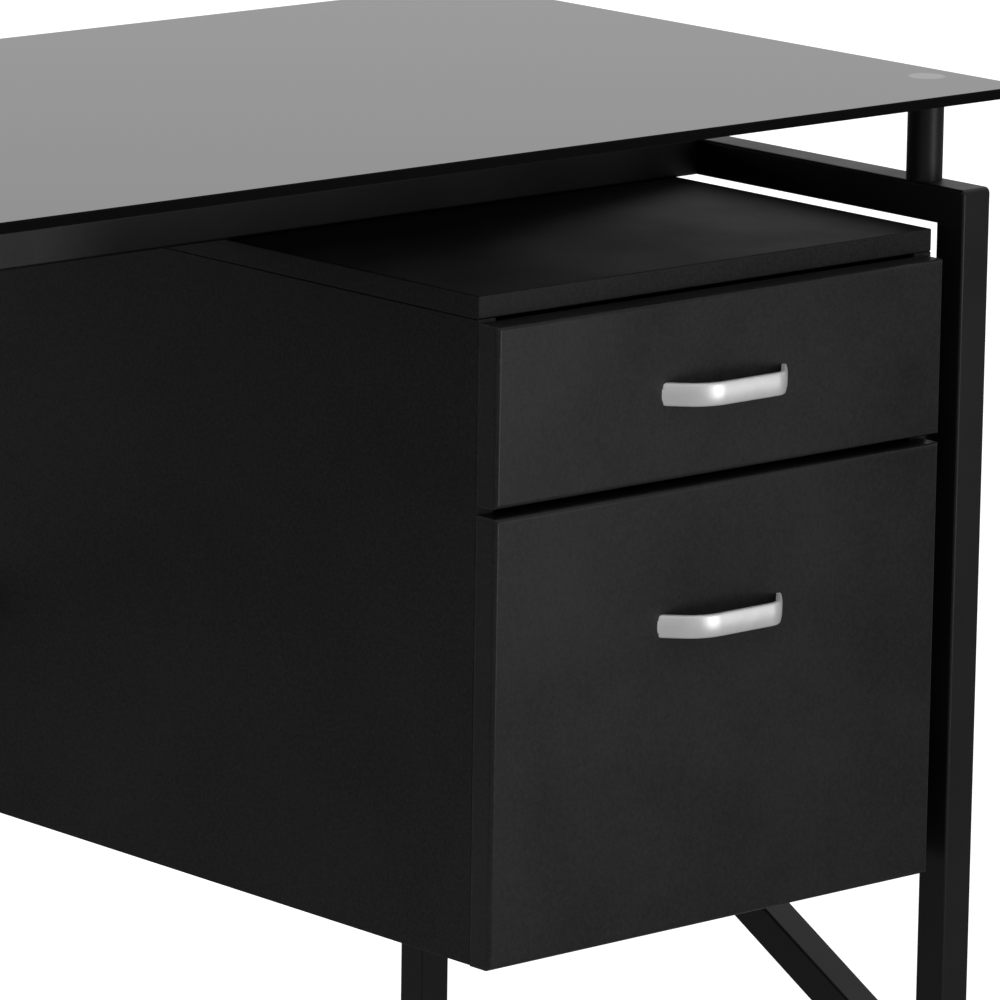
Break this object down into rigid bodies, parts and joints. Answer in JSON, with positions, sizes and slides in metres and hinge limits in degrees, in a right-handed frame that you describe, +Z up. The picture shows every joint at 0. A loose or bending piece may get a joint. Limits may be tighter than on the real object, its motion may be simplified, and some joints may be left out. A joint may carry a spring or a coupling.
{
  "type": "computer desk with keyboard tray",
  "caption": "Black glass-topped desk on a square-tube frame with a hung drawer pedestal and a keyboard tray that slides out.",
  "frame": {"origin": "on the floor, under the centre of the whole desk's box", "axes": "+Z up, +X to the user's right along the desk's length, and the user sits on the -Y side"},
  "size_m": [1.4, 0.5846, 0.76],
  "materials": {
    "glass": "black tempered glass, polished, pencil-ground edge",
    "disc_steel": "machined pad seen as a pale disc through the glass",
    "frame_coat": "satin black powder coat",
    "carcass_laminate": "black melamine-faced board with a fine fabric grain",
    "front_laminate": "black vinyl-wrapped board with a fine fabric grain",
    "box_foil": "dark foil-faced board",
    "hardboard": "dark coated hardboard",
    "dowel_wood": "bare beech",
    "handle_metal": "satin silver",
    "slide_steel": "zinc-plated cold-rolled steel",
    "zinc_steel": "zinc-plated",
    "black_fastener": "black oxide",
    "plastic": "moulded black",
    "clear_rubber": "soft translucent dots"
  },
  "bodies": {
    "root": {"right_front_leg": "frame_coat", "right_top_rail": "frame_coat", "right_rear_leg": "frame_coat", "right_brace": "frame_coat", "left_front_leg": "frame_coat", "left_top_rail": "frame_coat", "left_rear_leg": "frame_coat", "left_brace": "frame_coat", "crossbar": "frame_coat", "rear_stretcher": "frame_coat", "frame_bolts": "black_fastener", "bar_end_inserts": "zinc_steel", "leg_end_plugs": "plastic", "levelling_feet": "plastic", "glass_top": "glass", "standoff_posts": "frame_coat", "bond_discs": "disc_steel", "carcass_dowels": "dowel_wood", "pedestal_bolts": "black_fastener", "pedestal_top": "carcass_laminate", "pedestal_left_side": "carcass_laminate", "pedestal_right_side": "carcass_laminate", "pedestal_bottom": "carcass_laminate", "pedestal_back": "carcass_laminate", "leg_brackets": "frame_coat", "bracket_screws": "zinc_steel", "upper_outer_slides": "slide_steel", "lower_outer_slides": "slide_steel", "tray_outer_slides": "slide_steel", "tray_left_hanger": "frame_coat", "tray_right_hanger": "frame_coat", "slide_screws": "zinc_steel"},
    "upper_drawer": {"upper_front": "front_laminate", "upper_left_side": "box_foil", "upper_right_side": "box_foil", "upper_back": "box_foil", "upper_bottom": "hardboard", "upper_handle": "handle_metal", "upper_screws": "zinc_steel", "upper_bumpers": "clear_rubber", "upper_inner_slides": "slide_steel"},
    "lower_drawer": {"lower_front": "front_laminate", "lower_left_side": "box_foil", "lower_right_side": "box_foil", "lower_back": "box_foil", "lower_bottom": "hardboard", "lower_handle": "handle_metal", "lower_screws": "zinc_steel", "lower_bumpers": "clear_rubber", "lower_inner_slides": "slide_steel"},
    "keyboard_tray": {"tray_board": "carcass_laminate", "tray_left_rail": "carcass_laminate", "tray_right_rail": "carcass_laminate", "tray_back_fence": "carcass_laminate", "tray_screws": "zinc_steel", "tray_inner_slides": "slide_steel"},
    "upper_slide_middles": {"upper_middle_slides": "slide_steel"},
    "lower_slide_middles": {"lower_middle_slides": "slide_steel"},
    "tray_slide_middles": {"tray_middle_slides": "slide_steel"}
  },
  "joints": [
    {"name": "upper_drawer_slide", "type": "slide", "parent": "root", "child": "upper_drawer", "axis": [0, -1, 0], "range_m": [0, 0.45]},
    {"name": "upper_middles_slide", "type": "slide", "parent": "root", "child": "upper_slide_middles", "axis": [0, -1, 0], "range_m": [0, 0.225]},
    {"name": "lower_drawer_slide", "type": "slide", "parent": "root", "child": "lower_drawer", "axis": [0, -1, 0], "range_m": [0, 0.45]},
    {"name": "lower_middles_slide", "type": "slide", "parent": "root", "child": "lower_slide_middles", "axis": [0, -1, 0], "range_m": [0, 0.225]},
    {"name": "keyboard_tray_slide", "type": "slide", "parent": "root", "child": "keyboard_tray", "axis": [0, -1, 0], "range_m": [0, 0.3]},
    {"name": "tray_middles_slide", "type": "slide", "parent": "root", "child": "tray_slide_middles", "axis": [0, -1, 0], "range_m": [0, 0.15]}
  ],
  "couplings": [
    {"joint": "upper_middles_slide", "follows": "upper_drawer_slide", "ratio": 0.5},
    {"joint": "lower_middles_slide", "follows": "lower_drawer_slide", "ratio": 0.5},
    {"joint": "tray_middles_slide", "follows": "keyboard_tray_slide", "ratio": 0.5}
  ]
}
